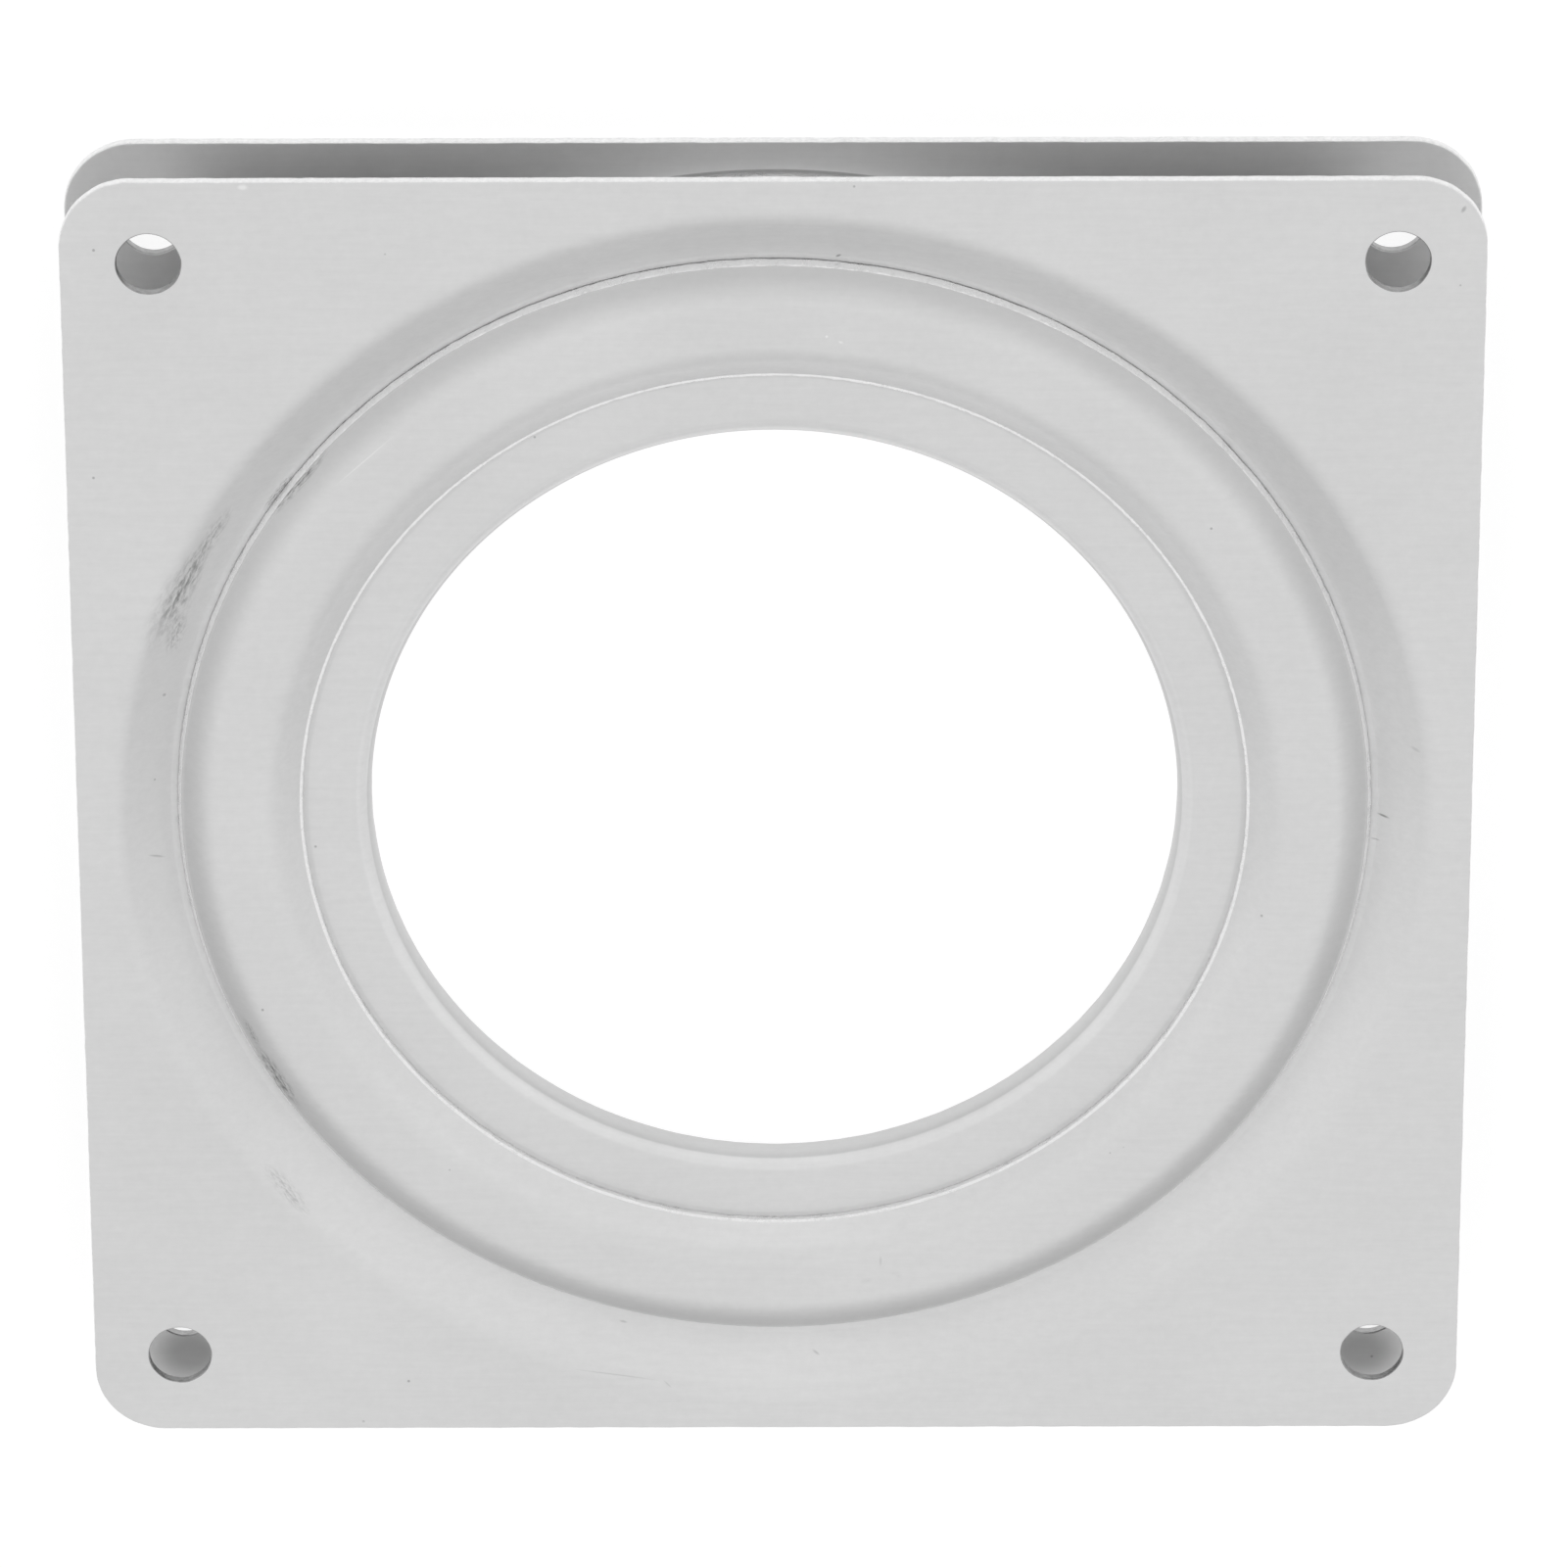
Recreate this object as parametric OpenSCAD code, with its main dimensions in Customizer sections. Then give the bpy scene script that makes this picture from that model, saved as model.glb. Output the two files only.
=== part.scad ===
// Square swivel bearing for a turntable, pressed from galvanised steel sheet.
// The front plate turns on one row of loose balls. The balls run in a pressed race
// ring that sits on the back plate. A retainer ring is fixed to the race ring and
// covers the front plate's bead, so the two plates can't come apart.
// The origin is the middle of the back plate's mounting face, and +Z is the spin axis.

/* [Plates] */
// Side of the two square plates
plate_w = 101.6; // [80:0.2:130]
// Height from one mounting face to the other
bearing_h = 7.94; // [7.5:0.02:9]
// Thickness of the plates' sheet
plate_t = 0.85; // [0.7:0.05:1]
// Radius of the plates' corners
corner_r = 5.2; // [3:0.1:8]
// Diameter of the screw holes
hole_d = 4.6; // [3:0.1:5.6]
// Distance from a plate's edge to the middle of a screw hole
hole_inset = 6.35; // [5:0.05:7]

/* [Balls] */
// Diameter of a ball
ball_d = 3.97; // [3.6:0.01:4.3]
// Number of balls
ball_count = 36; // [12:1:48]
// Distance from a plate's edge in to the circle of ball centres
ball_inset = 12; // [11.6:0.1:13]
// Running gap between a ball and each race
ball_gap = 0.03; // [0.01:0.01:0.1]

/* [Front plate] */
// Slope of the dish's conical wall, in degrees
dish_slope = 36; // [32:1:42]
// Slope of the shelf that rises from the valley to the wall, in degrees
shelf_slope = 18; // [12:1:22]
// Width of the shelf, measured along its slope
shelf_w = 2.35; // [1.9:0.05:2.8]
// Gap between the floor of the valley and the race ring's brim
valley_gap = 2; // [1.7:0.05:2.1]
// Inside radius of the bend at the top of the dish
dish_bend_r = 1.5; // [1:0.1:2]
// Inside radius of the bends at both ends of the shelf
valley_bend_r = 0.45; // [0.3:0.05:0.7]
// Angle round the ball at which the bead's hidden inner edge ends
bead_start = 122; // [100:1:130]

/* [Race ring] */
// Thickness of the race ring's sheet
race_t = 0.8; // [0.6:0.05:0.9]
// Distance from the ball circle in to the edge of the bore
bore_inset = 9.3; // [7.5:0.1:12]
// Outside radius of the roll at the edge of the bore
bore_roll_r = 1.35; // [1.1:0.05:1.5]
// Depth of the bore's flange below the race ring's flat
bore_flange_h = 2.3; // [1.6:0.1:3]
// Height of the flat above the middle of the balls
seat_rise = 1.5; // [1.2:0.05:1.8]
// Inside radius of the bend between the flat and the race's wall
seat_bend_r = 0.5; // [0.3:0.05:0.6]
// Gap from the back mounting face up to the underside of the groove
race_lift = 0.5; // [0.3:0.05:0.8]
// Inside radius of the bend between the groove and the brim
brim_bend_r = 0.5; // [0.3:0.05:0.7]
// Distance from the ball circle out to the brim's edge
brim_reach = 9.6; // [7:0.1:10]
// Gap between the groove and the back plate's opening
opening_gap = 0.4; // [0.2:0.05:1]

/* [Retainer ring] */
// Thickness of the retainer ring's sheet
cover_t = 0.5; // [0.4:0.05:0.6]
// Gap between the crest of the front plate's bead and the retainer
cover_gap = 0.45; // [0.3:0.05:0.6]
// Distance from the ball circle in to the retainer's inner edge
cover_in_w = 4.3; // [4.1:0.05:4.8]
// Distance from the ball circle out to the retainer's outer edge
cover_out_w = 4.6; // [4.4:0.05:4.9]
// Distance from the ball circle in to the end of the level crest
cover_crest_in_w = 1.2; // [0.9:0.05:1.5]
// Distance from the ball circle out to the end of the level crest
cover_crest_out_w = 1.7; // [1.3:0.05:2]
// Inside radius of the bends between the crest and the sloped skirts
cover_bend_r = 2; // [1.6:0.05:2.3]
// Width of the foot at the inner edge, which stands on the race ring's flat
cover_foot_w = 0.3; // [0.2:0.05:0.5]
// Gap between the outer edge and the front plate's shelf below it
cover_edge_gap = 0.09; // [0.06:0.01:0.3]

/* [Hidden] */
$fn = 144;

// Rounding at the cut ends of the sheets
edge_r = 0.12;
// Width over which the dish and the flat of the front plate run into each other
joint_lap = 0.5;
// Overrun of every cut
cut_over = 1;
// Largest turn between two points of a bend, in degrees, and points on a rounded corner
bend_step = 5;
edge_steps = 3;
galvanised = [0.78, 0.79, 0.8];
galvanised_inside = [0.68, 0.69, 0.7];
ball_steel = [0.86, 0.87, 0.89];

// Distance of a screw hole from the plate's middle lines
hole_place = plate_w / 2 - hole_inset;

// Ball circle, and the centre of one ball in the section plane as [radius, height]
ball_circle_r = plate_w / 2 - ball_inset;
ball_z = race_lift + race_t + ball_gap + ball_d / 2;
ball_c = [ball_circle_r, ball_z];

// Middle lines of the two races, as radii about the ball centre
race_mid_r = ball_d / 2 + ball_gap + race_t / 2;
bead_mid_r = ball_d / 2 + ball_gap + plate_t / 2;

// Race ring: the groove leaves the ball where its bend meets the brim's middle line
brim_z = plate_t + race_t / 2;
brim_bend_mid = brim_bend_r + race_t / 2;
groove_exit = acos((ball_z + brim_bend_mid - brim_z) / (race_mid_r + brim_bend_mid));
brim_bend_c = ball_c - (race_mid_r + brim_bend_mid) * unit(90 + groove_exit);
seat_z = ball_z + seat_rise;
seat_mid_z = seat_z - race_t / 2;
seat_bend_mid = seat_bend_r + race_t / 2;
seat_bend_c = [ball_circle_r - race_mid_r - seat_bend_mid, seat_mid_z - seat_bend_mid];
roll_mid = bore_roll_r - race_t / 2;
roll_c = [ball_circle_r - bore_inset + bore_roll_r, seat_z - bore_roll_r];
brim_r = ball_circle_r + brim_reach;
opening_r = brim_bend_c[0] + opening_gap;

// Front plate: bead over the balls, valley, sloped shelf, conical wall and bend up to the flat
valley_mid_z = plate_t + race_t + valley_gap + plate_t / 2;
valley_bend_mid = valley_bend_r + plate_t / 2;
bead_exit = asin((valley_mid_z + valley_bend_mid - ball_z) / (bead_mid_r + valley_bend_mid));
valley_in_c = ball_c + (bead_mid_r + valley_bend_mid) * unit(bead_exit);
valley_out_c = valley_in_c + shelf_w * unit(shelf_slope);
dish_bend_mid = dish_bend_r + plate_t / 2;
dish_bend_z = bearing_h - plate_t / 2 - dish_bend_mid;
dish_bends = dish_bend_mid + valley_bend_mid;
dish_rise = dish_bend_z - valley_out_c[1] + dish_bends * cos(dish_slope);
dish_run = dish_rise / tan(dish_slope) + dish_bends * sin(dish_slope);
dish_bend_c = [valley_out_c[0] + dish_run, dish_bend_z];

// Retainer ring: a level crest with a bend and a straight skirt on both sides, cut off upright.
// The inner skirt comes down to the race ring's flat, and the outer one stays clear of the shelf.
shelf_start = valley_in_c - valley_bend_r * unit(90 + shelf_slope);
cover_in_edge = ball_circle_r - cover_in_w;
cover_out_edge = ball_circle_r + cover_out_w;
cover_out_z = shelf_start[1] + (cover_out_edge - shelf_start[0]) * tan(shelf_slope) + cover_edge_gap;
crest_z = ball_z + bead_mid_r + plate_t / 2 + cover_gap;
cover_in_c = [ball_circle_r - cover_crest_in_w, crest_z - cover_bend_r];
cover_out_c = [ball_circle_r + cover_crest_out_w, crest_z - cover_bend_r];
skirt_in_slope = skirt_slope(cover_in_w - cover_foot_w - cover_crest_in_w, crest_z - seat_z);
skirt_out_slope = skirt_slope(cover_out_w - cover_crest_out_w, crest_z - cover_out_z);
cover_in_top_z = seat_z - cover_foot_w * tan(skirt_in_slope) + cover_t / cos(skirt_in_slope);
cover_out_top_z = cover_out_z + cover_t / cos(skirt_out_slope);

fixed_nodes = ["back_plate", "race_ring", "retainer_ring", "front_plate"];

function ball_name(i) = str("ball_", i < 10 ? "0" : "", i);

// Direction at an angle, in degrees
function unit(a) = [cos(a), sin(a)];

// Slope of a skirt that runs straight from the retainer's bend to a point w further out and h down
function skirt_slope(w, h) =
    90 - atan2(cover_bend_r - h, w) - acos(cover_bend_r / norm([w, cover_bend_r - h]));

// Stretch of a sheet's middle line about a centre, as [point, normal] pairs.
// A negative radius bends the other way.
function bend(centre, r, from, to) =
    let (steps = ceil(abs(to - from) / bend_step))
    [
        for (i = [0:steps])
            let (a = from + (to - from) * i / steps)
                [centre + r * unit(a), unit(a)]
    ];

// Points of an arc about a centre
function arc(centre, r, from, to) = [for (step = bend(centre, r, from, to)) step[0]];

// Cut end of a sheet with slightly rounded corners, from its upper to its lower side
function cut_end(point, up, along, t) = concat(
    [for (i = [0:edge_steps]) let (a = 90 * i / edge_steps)
        point + (t / 2 - edge_r) * up - edge_r * along + edge_r * (cos(a) * up + sin(a) * along)],
    [for (i = [0:edge_steps]) let (a = 90 * i / edge_steps)
        point - (t / 2 - edge_r) * up - edge_r * along + edge_r * (cos(a) * along - sin(a) * up)]
);

// Outline of a sheet of thickness t that follows a middle line from left to right
function sheet(path, t) =
    let (
        last = len(path) - 1,
        first_up = path[0][1],
        last_up = path[last][1],
        first_along = [-first_up[1], first_up[0]],
        last_along = [last_up[1], -last_up[0]]
    )
    concat(
        [for (i = [1:last - 1]) path[i][0] + path[i][1] * t / 2],
        cut_end(path[last][0], last_up, last_along, t),
        [for (i = [last - 1:-1:1]) path[i][0] - path[i][1] * t / 2],
        cut_end(path[0][0], -first_up, first_along, t)
    );

// A ring pressed from sheet, turned about the spin axis
module pressed_ring(path, t) {
    rotate_extrude()
        polygon(sheet(path, t));
}

// Square outline with true round corners
module plate_outline() {
    inner_w = plate_w - 2 * corner_r;
    square([plate_w, inner_w], center = true);
    square([inner_w, plate_w], center = true);
    for (x = [-1, 1], y = [-1, 1])
        translate([x, y] * inner_w / 2)
            circle(r = corner_r);
}

// Flat square plate with its four screw holes and a round opening
module flat_plate(round_opening_r) {
    difference() {
        linear_extrude(plate_t)
            plate_outline();
        translate([0, 0, -cut_over])
            cylinder(h = plate_t + 2 * cut_over, r = round_opening_r);
        for (x = [-1, 1], y = [-1, 1])
            translate([x * hole_place, y * hole_place, -cut_over])
                cylinder(h = plate_t + 2 * cut_over, d = hole_d);
    }
}

// Plate that is screwed to the base, with an opening for the groove
module back_plate() {
    color(galvanised_inside)
        flat_plate(opening_r);
}

// Ring that carries the balls: rolled bore edge, flat, wall, groove and brim
module race_ring() {
    color(galvanised)
        pressed_ring(
            concat(
                [[[roll_c[0] - roll_mid, seat_z - bore_flange_h], unit(180)]],
                bend(roll_c, roll_mid, 180, 90),
                bend(seat_bend_c, seat_bend_mid, 90, 0),
                bend(ball_c, -race_mid_r, 0, 90 + groove_exit),
                bend(brim_bend_c, brim_bend_mid, 90 + groove_exit, 90),
                [[[brim_r, brim_z], unit(90)]]
            ),
            race_t
        );
}

// Ring that holds the front plate down: a thin arch over the front plate's bead
module retainer_ring() {
    top_r = cover_bend_r + cover_t;
    color(galvanised)
        rotate_extrude()
            polygon(concat(
                [[cover_in_edge, seat_z], [cover_in_edge, cover_in_top_z]],
                arc(cover_in_c, top_r, 90 + skirt_in_slope, 90),
                arc(cover_out_c, top_r, 90, 90 - skirt_out_slope),
                [[cover_out_edge, cover_out_top_z], [cover_out_edge, cover_out_z]],
                arc(cover_out_c, cover_bend_r, 90 - skirt_out_slope, 90),
                arc(cover_in_c, cover_bend_r, 90, 90 + skirt_in_slope),
                [[cover_in_edge + cover_foot_w, seat_z]]
            ));
}

// Plate that turns: flat square, dished down to a bead that rides over the balls
module front_plate() {
    color(galvanised) {
        translate([0, 0, bearing_h - plate_t])
            flat_plate(dish_bend_c[0]);
        pressed_ring(
            concat(
                bend(ball_c, bead_mid_r, bead_start, bead_exit),
                bend(valley_in_c, -valley_bend_mid, bead_exit, 90 + shelf_slope),
                bend(valley_out_c, -valley_bend_mid, 90 + shelf_slope, 90 + dish_slope),
                bend(dish_bend_c, dish_bend_mid, 90 + dish_slope, 90),
                [[[dish_bend_c[0] + joint_lap, bearing_h - plate_t / 2], unit(90)]]
            ),
            plate_t
        );
    }
}

// One of the loose balls, at its place in the row
module ball(i) {
    color(ball_steel)
        rotate(360 * (i - 1) / ball_count)
            translate([ball_circle_r, 0, ball_z])
                sphere(d = ball_d);
}

back_plate();
race_ring();
retainer_ring();
front_plate();
for (i = [1:ball_count])
    ball(i);
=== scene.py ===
"""Looks of a square swivel bearing for a turntable, pressed from galvanised steel sheet.

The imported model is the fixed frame. Each sheet is modelled here again as one smooth
surface, from the same bends as the solids, then given its thickness, its rounded cut
edges and its finish. Sizes are in millimetres until a mesh becomes an object.
"""

from __future__ import annotations

import logging
import math
from dataclasses import dataclass
from enum import Enum

import bmesh
import bpy
from mathutils import Matrix, Vector, noise


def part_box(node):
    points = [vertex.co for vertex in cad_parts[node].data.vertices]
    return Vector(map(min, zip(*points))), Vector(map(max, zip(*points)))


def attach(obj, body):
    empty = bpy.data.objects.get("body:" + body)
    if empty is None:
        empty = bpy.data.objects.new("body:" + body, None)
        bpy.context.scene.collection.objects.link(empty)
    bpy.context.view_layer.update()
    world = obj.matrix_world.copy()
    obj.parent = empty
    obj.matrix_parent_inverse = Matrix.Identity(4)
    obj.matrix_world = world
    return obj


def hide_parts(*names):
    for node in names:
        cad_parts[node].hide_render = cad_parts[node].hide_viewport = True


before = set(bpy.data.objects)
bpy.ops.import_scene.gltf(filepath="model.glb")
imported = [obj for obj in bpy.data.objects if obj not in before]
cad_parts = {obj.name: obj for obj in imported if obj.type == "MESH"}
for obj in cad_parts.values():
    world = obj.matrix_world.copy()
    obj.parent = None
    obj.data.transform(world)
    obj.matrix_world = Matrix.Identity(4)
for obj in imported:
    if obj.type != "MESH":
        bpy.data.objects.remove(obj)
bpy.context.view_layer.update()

LOG = logging.getLogger("bearing")
METRE = 0.001
FULL_TURN = 2 * math.pi
WHITE = (1.0, 1.0, 1.0, 1.0)
RING_STEPS = 240
HOLE_SIDE_SLOT = 2


class Body(Enum):
    """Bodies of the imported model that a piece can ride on."""

    BASE = "base"
    TURNTABLE = "turntable"
    BALLS = "ball_row"


class Slot(Enum):
    """Material slots of the record."""

    PLATE = "plate_steel"
    RING = "ring_steel"
    BALL = "ball_steel"


# Shader graphs


class Value:
    """A number in a shader graph. Each operator on it adds one Math node."""

    def __init__(self, graph: ShaderGraph, socket: bpy.types.NodeSocket) -> None:
        """Wraps a socket.

        Args:
            graph: Graph that the socket's node belongs to.
            socket: Output that carries the number.
        """
        self.graph = graph
        self.socket = socket

    def _math(self, operation: str, first: Operand, second: Operand, clamp: bool = False) -> Value:
        """Adds a Math node.

        Args:
            operation: Name of the Math node's operation.
            first: First operand.
            second: Second operand.
            clamp: Whether the result is kept from 0 to 1.

        Returns:
            The node's result.
        """
        settings = {"operation": operation, "use_clamp": clamp}
        node = self.graph.add("ShaderNodeMath", settings, {0: first, 1: second})
        return Value(self.graph, node.outputs[0])

    def __add__(self, other: Operand) -> Value:
        """Sum."""
        return self._math("ADD", self, other)

    def __radd__(self, other: Operand) -> Value:
        """Sum with a plain number on the left."""
        return self._math("ADD", other, self)

    def __sub__(self, other: Operand) -> Value:
        """Difference."""
        return self._math("SUBTRACT", self, other)

    def __rsub__(self, other: Operand) -> Value:
        """Difference from a plain number."""
        return self._math("SUBTRACT", other, self)

    def __mul__(self, other: Operand) -> Value:
        """Product."""
        return self._math("MULTIPLY", self, other)

    def __rmul__(self, other: Operand) -> Value:
        """Product with a plain number on the left."""
        return self._math("MULTIPLY", other, self)

    def __or__(self, other: Operand) -> Value:
        """The larger of two masks."""
        return self._math("MAXIMUM", self, other)

    def clamped(self) -> Value:
        """The value kept from 0 to 1."""
        return self._math("ADD", self, 0.0, clamp=True)


Operand = Value | float
Triple = tuple[float, float, float]


class ShaderGraph:
    """Node tree of a material or a world."""

    def __init__(self, tree: bpy.types.NodeTree) -> None:
        """Empties the tree.

        Args:
            tree: Node tree to fill.
        """
        self.tree = tree
        tree.nodes.clear()

    def add(
        self, kind: str, settings: dict | None = None, sockets: dict | None = None
    ) -> bpy.types.Node:
        """Adds one node.

        Args:
            kind: Type of the node.
            settings: Its options, set first.
            sockets: Numbers, colours, nodes' outputs or Values, by the input's name or number.

        Returns:
            The node.
        """
        node = self.tree.nodes.new(kind)
        for name, setting in (settings or {}).items():
            setattr(node, name, setting)
        for name, given in (sockets or {}).items():
            source = given.socket if isinstance(given, Value) else given
            if isinstance(source, bpy.types.NodeSocket):
                self.tree.links.new(source, node.inputs[name])
            else:
                node.inputs[name].default_value = source
        return node

    def value(self, node: bpy.types.Node, output: str | int = 0) -> Value:
        """A node's output as a Value.

        Args:
            node: Node to read.
            output: Name or number of the output.

        Returns:
            The output, ready for sums.
        """
        return Value(self, node.outputs[output])

    def noise(
        self, place: bpy.types.NodeSocket, size: float, detail: float = 2.0, rough: float = 0.5
    ) -> Value:
        """Adds a noise texture.

        Args:
            place: Coordinates.
            size: Size of the noise's patches, in thousandths of a unit of the coordinates.
            detail: Number of finer layers.
            rough: Weight of the finer layers.

        Returns:
            Noise from 0 to 1, mostly near 0.5.
        """
        node = self.add(
            "ShaderNodeTexNoise",
            {"noise_dimensions": "3D"},
            {"Vector": place, "Scale": 1 / (size * METRE), "Detail": detail, "Roughness": rough},
        )
        return self.value(node, "Fac")

    def between(self, mask: Operand, low: float, high: float) -> Value:
        """Stretches a mask so that low becomes 0 and high becomes 1, smoothly.

        Args:
            mask: Value to stretch.
            low: Value that becomes 0. It may be above the other.
            high: Value that becomes 1.

        Returns:
            The stretched mask.
        """
        node = self.add(
            "ShaderNodeMapRange",
            {"interpolation_type": "SMOOTHSTEP", "clamp": True},
            {"Value": mask, "From Min": low, "From Max": high},
        )
        return self.value(node)

    def grey(self, level: Value) -> bpy.types.NodeSocket:
        """A grey colour of a given level.

        Args:
            level: Level of all three channels.

        Returns:
            Colour output.
        """
        levels = {"Red": level, "Green": level, "Blue": level}
        return self.add("ShaderNodeCombineColor", None, levels).outputs["Color"]

    def object_place(self) -> bpy.types.NodeSocket:
        """Object coordinates, in metres."""
        return self.add("ShaderNodeTexCoord").outputs["Object"]

    def length(self, vector: bpy.types.NodeSocket) -> Value:
        """Length of a vector."""
        node = self.add("ShaderNodeVectorMath", {"operation": "LENGTH"}, {0: vector})
        return self.value(node, "Value")

    def mapped(
        self, place: bpy.types.NodeSocket, kind: str, move: Triple, turn: float, scale: Triple
    ) -> bpy.types.NodeSocket:
        """Moves, turns about Z and scales coordinates.

        Args:
            place: Coordinates.
            kind: Type of the mapping, POINT or TEXTURE.
            move: Shift in metres.
            turn: Turn in degrees.
            scale: Scale along each axis.

        Returns:
            The mapped coordinates.
        """
        turned = (0.0, 0.0, math.radians(turn))
        sockets = {"Vector": place, "Location": move, "Rotation": turned, "Scale": scale}
        return self.add("ShaderNodeMapping", {"vector_type": kind}, sockets).outputs["Vector"]

    def roughened(self, height: Value, strength: float, depth: float) -> bpy.types.NodeSocket:
        """Normal of a surface with fine relief.

        Args:
            height: Relief from 0 to 1.
            strength: Strength of the relief.
            depth: Depth of the relief in millimetres.

        Returns:
            The normal.
        """
        sockets = {"Strength": strength, "Distance": depth * METRE, "Height": height}
        return self.add("ShaderNodeBump", None, sockets).outputs["Normal"]


class SteelGraph(ShaderGraph):
    """Material of bare or zinc-coated steel."""

    def __init__(self, name: str) -> None:
        """Makes the material.

        Args:
            name: Name of the material.
        """
        self.material = bpy.data.materials.new(name)
        self.material.use_nodes = True
        super().__init__(self.material.node_tree)

    def finish(
        self, level: Value, rough: Value, normal: bpy.types.NodeSocket | None = None
    ) -> bpy.types.Material:
        """Adds the metal shader.

        Args:
            level: How much the metal reflects.
            rough: Its roughness.
            normal: Its normal, if it has relief.

        Returns:
            The material.
        """
        sockets = {"Base Color": self.grey(level), "Metallic": 1.0, "Roughness": rough}
        if normal is not None:
            sockets["Normal"] = normal
        shader = self.add("ShaderNodeBsdfPrincipled", None, sockets)
        self.add("ShaderNodeOutputMaterial", None, {"Surface": shader.outputs["BSDF"]})
        return self.material


@dataclass(frozen=True)
class MarkOrPaintedShade:
    """Rub mark, scratch or speck on a sheet, or a patch of painted shade.

    Places and half sizes are in millimetres and the angle is in degrees. The core is the
    share of the mark that has its full depth, and the grain the size of a speckled mark's
    streaks in thousandths of the mark.
    """

    x: float
    y: float
    length: float
    width: float
    angle: float
    depth: float
    speckled: bool = False
    core: float = 0.2
    grain: float = 220.0

    def mask(self, graph: ShaderGraph, place: bpy.types.NodeSocket) -> Value:
        """Adds the mark to a material. A speckled one is broken up into streaks along its length.

        Args:
            graph: Material's graph.
            place: Object coordinates.

        Returns:
            How much the mark darkens each point, or lightens it where the depth is below zero.
        """
        move = (self.x * METRE, self.y * METRE, 0.0)
        scale = (self.length * METRE, self.width * METRE, 1.0)
        local = graph.mapped(place, "TEXTURE", move, self.angle, scale)
        inside = graph.between(graph.length(local), 1.0, self.core) * self.depth
        if not self.speckled:
            return inside
        streaks = graph.noise(local, self.grain, detail=4.0, rough=0.65)
        return inside * graph.between(streaks, 0.4, 0.64)


@dataclass(frozen=True)
class PaintedLightBand:
    """Painted shade in a band round the axis of a sheet, or painted highlight where the depth is
    below zero. Radii and the fade are in millimetres.
    """

    inner: float
    outer: float
    fade: float
    depth: float

    def mask(self, graph: ShaderGraph, radius: Value) -> Value:
        """Adds the band to a material.

        Args:
            graph: Material's graph.
            radius: Distance from the axis in metres.

        Returns:
            How much the band darkens each point, or lightens it where the depth is below zero.
        """
        begun = graph.between(radius, (self.inner - self.fade) * METRE, self.inner * METRE)
        lasting = graph.between(radius, (self.outer + self.fade) * METRE, self.outer * METRE)
        return begun * lasting * self.depth


# Finishes


@dataclass(frozen=True)
class GalvanisedSheet:
    """Zinc-coated steel sheet: satin, faintly mottled and streaked, with specks and marks, and with
    patches and bands of painted shade and painted highlight.

    Sizes are in millimetres. A swing is how far the noise moves a value to both sides.
    """

    name: str
    level: float = 0.82
    roughness: float = 0.52
    mottle: float = 0.045
    cloud_size: float = 14.0
    grain_size: float = 0.7
    grain_depth: float = 0.02
    grain_strength: float = 0.25
    rough_swing: float = 0.04
    streak: float = 0.035
    streak_size: float = 0.35
    streak_squeeze: float = 0.08
    streak_turn: float = 6.8755
    speck_depth: float = 0.35
    speck_spacing: float = 3.2
    speck_reach: float = 0.045
    speck_core: float = 0.02
    speck_patch: float = 6.0
    marks_and_painted_shade: tuple[MarkOrPaintedShade, ...] = ()
    painted_bands: tuple[PaintedLightBand, ...] = ()

    def build(self) -> bpy.types.Material:
        """Makes the material.

        Returns:
            The material.
        """
        graph = SteelGraph(self.name)
        place = graph.object_place()
        cloud = graph.noise(place, self.cloud_size, detail=3.0)
        grain = graph.noise(place, self.grain_size, detail=4.0, rough=0.6)
        squeeze = (self.streak_squeeze, 1.0, 1.0)
        along = graph.mapped(place, "POINT", (0.0, 0.0, 0.0), self.streak_turn, squeeze)
        streaks = graph.noise(along, self.streak_size, detail=4.0, rough=0.6)
        mottled = (grain - 0.5 + cloud - 0.5) * (2 * self.mottle)
        streaked = (streaks - 0.5) * (2 * self.streak)
        clean = self.level * (1 + mottled) * (1 + streaked)
        specked = 1 - self.speck_depth * self._specks(graph, place)
        # The marks darken the level, and the painted shade and painted highlight of the patches and
        # bands change it too.
        level = clean * specked * (1 - self._marks_and_painted_light(graph, place))
        rough = self.roughness + 2 * self.rough_swing * (grain - 0.5)
        relief = graph.roughened(grain, self.grain_strength, self.grain_depth)
        return graph.finish(level, rough, relief)

    def _marks_and_painted_light(self, graph: ShaderGraph, place: bpy.types.NodeSocket) -> Operand:
        """The marks, the patches of painted shade and the painted bands of shade and highlight
        together.

        Args:
            graph: Material's graph.
            place: Object coordinates.

        Returns:
            How much they darken each point, or lighten it where a depth is below zero.
        """
        flat = graph.mapped(place, "POINT", (0.0, 0.0, 0.0), 0.0, (1.0, 1.0, 0.0))
        radius = graph.length(flat)
        masks = [mark.mask(graph, place) for mark in self.marks_and_painted_shade]
        masks += [band.mask(graph, radius) for band in self.painted_bands]
        marked_and_painted: Operand = 0.0
        for mask in masks:
            marked_and_painted = mask + marked_and_painted
        return marked_and_painted

    def _specks(self, graph: ShaderGraph, place: bpy.types.NodeSocket) -> Value:
        """Sparse dark specks.

        Args:
            graph: Material's graph.
            place: Object coordinates.

        Returns:
            Mask of the specks.
        """
        scale = 1 / (self.speck_spacing * METRE)
        cells = graph.add("ShaderNodeTexVoronoi", None, {"Vector": place, "Scale": scale})
        near = graph.between(graph.value(cells, "Distance"), self.speck_reach, self.speck_core)
        some = graph.between(graph.noise(place, self.speck_patch), 0.52, 0.6)
        return near * some


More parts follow.
